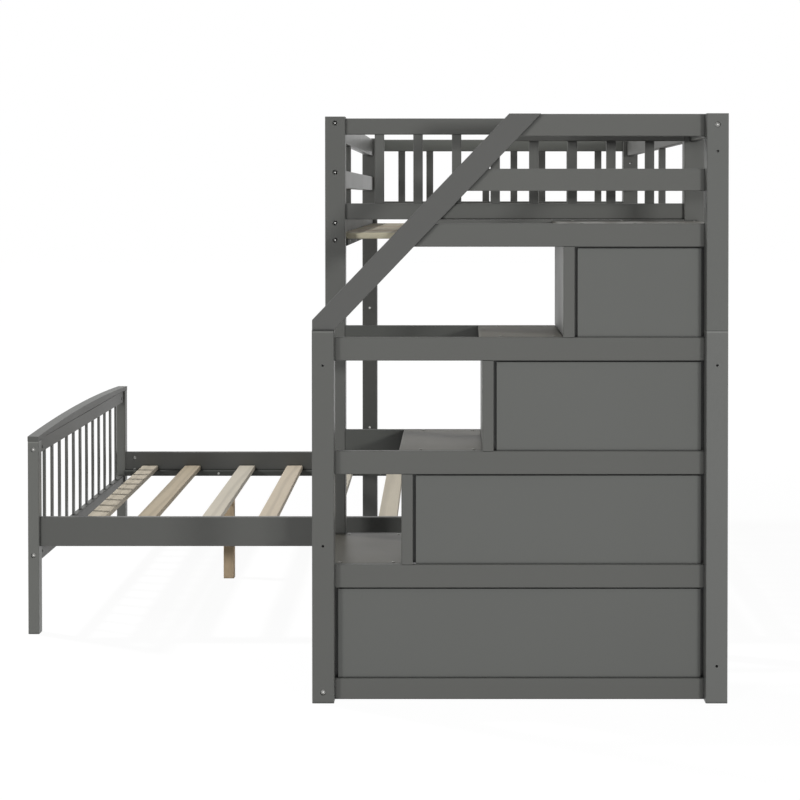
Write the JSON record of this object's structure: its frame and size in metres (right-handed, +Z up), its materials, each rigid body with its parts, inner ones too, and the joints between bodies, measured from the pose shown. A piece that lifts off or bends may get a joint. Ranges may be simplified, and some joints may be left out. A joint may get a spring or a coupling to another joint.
{
  "type": "stair bunk bed",
  "caption": "Painted timber bunk: a twin loft with slatted ends and a closed stair across its near end, over a wider platform bed standing crosswise, with slatted arched ends.",
  "frame": {"origin": "on the floor, in the middle of the bounding box", "axes": "+Z up; the loft's length runs along Y, with the stair at its -Y end, the pictured front; the stair climbs towards +X; the lower bed's length runs along X, its foot end at -X"},
  "size_m": [1.996, 2.501, 1.545],
  "materials": {
    "grey_timber": "satin grey paint on pine",
    "bare_pine": "bare planed pine",
    "zinc_hardware": "zinc-plated steel"
  },
  "bodies": {
    "root": {"loft_post_near_left": "grey_timber", "loft_post_near_right": "grey_timber", "loft_post_far_left": "grey_timber", "loft_post_far_right": "grey_timber", "near_end_top_rail": "grey_timber", "near_end_bottom_rail": "grey_timber", "near_end_slats": "grey_timber", "far_end_top_rail": "grey_timber", "far_end_bottom_rail": "grey_timber", "far_end_slats": "grey_timber", "left_side_rail": "grey_timber", "right_side_rail": "grey_timber", "left_top_guard": "grey_timber", "right_top_guard": "grey_timber", "left_mid_guard": "grey_timber", "right_mid_guard": "grey_timber", "side_guard_pickets": "grey_timber", "upper_slat_ledgers": "grey_timber", "upper_bed_slats": "bare_pine", "stair_post_front": "grey_timber", "stair_post_back": "grey_timber", "stair_post_back_upper": "grey_timber", "post_dowels": "bare_pine", "outer_base_rail": "grey_timber", "outer_tread_rails": "grey_timber", "outer_deck_rail": "grey_timber", "outer_mid_guard": "grey_timber", "outer_top_guard": "grey_timber", "outer_handrail": "grey_timber", "outer_stiles": "grey_timber", "outer_panels": "grey_timber", "inner_tread_rails": "grey_timber", "inner_deck_rail": "grey_timber", "inner_top_guard": "grey_timber", "inner_handrail": "grey_timber", "side_top_guard": "grey_timber", "side_base_rail": "grey_timber", "stair_tread_1": "grey_timber", "stair_tread_2": "grey_timber", "stair_tread_3": "grey_timber", "stair_tread_4": "grey_timber", "stair_risers": "grey_timber", "tread_cleats": "grey_timber", "lower_foot_posts": "grey_timber", "lower_head_posts": "grey_timber", "foot_top_board": "grey_timber", "end_arches": "grey_timber", "foot_cap": "grey_timber", "foot_bottom_rail": "grey_timber", "foot_slats": "grey_timber", "head_top_board": "grey_timber", "head_cap": "grey_timber", "head_bottom_rail": "grey_timber", "head_slats": "grey_timber", "lower_side_rails": "grey_timber", "lower_slat_ledgers": "grey_timber", "lower_bed_slats": "bare_pine", "centre_legs": "bare_pine", "frame_bolts": "zinc_hardware", "barrel_nuts": "zinc_hardware"}
  },
  "joints": []
}
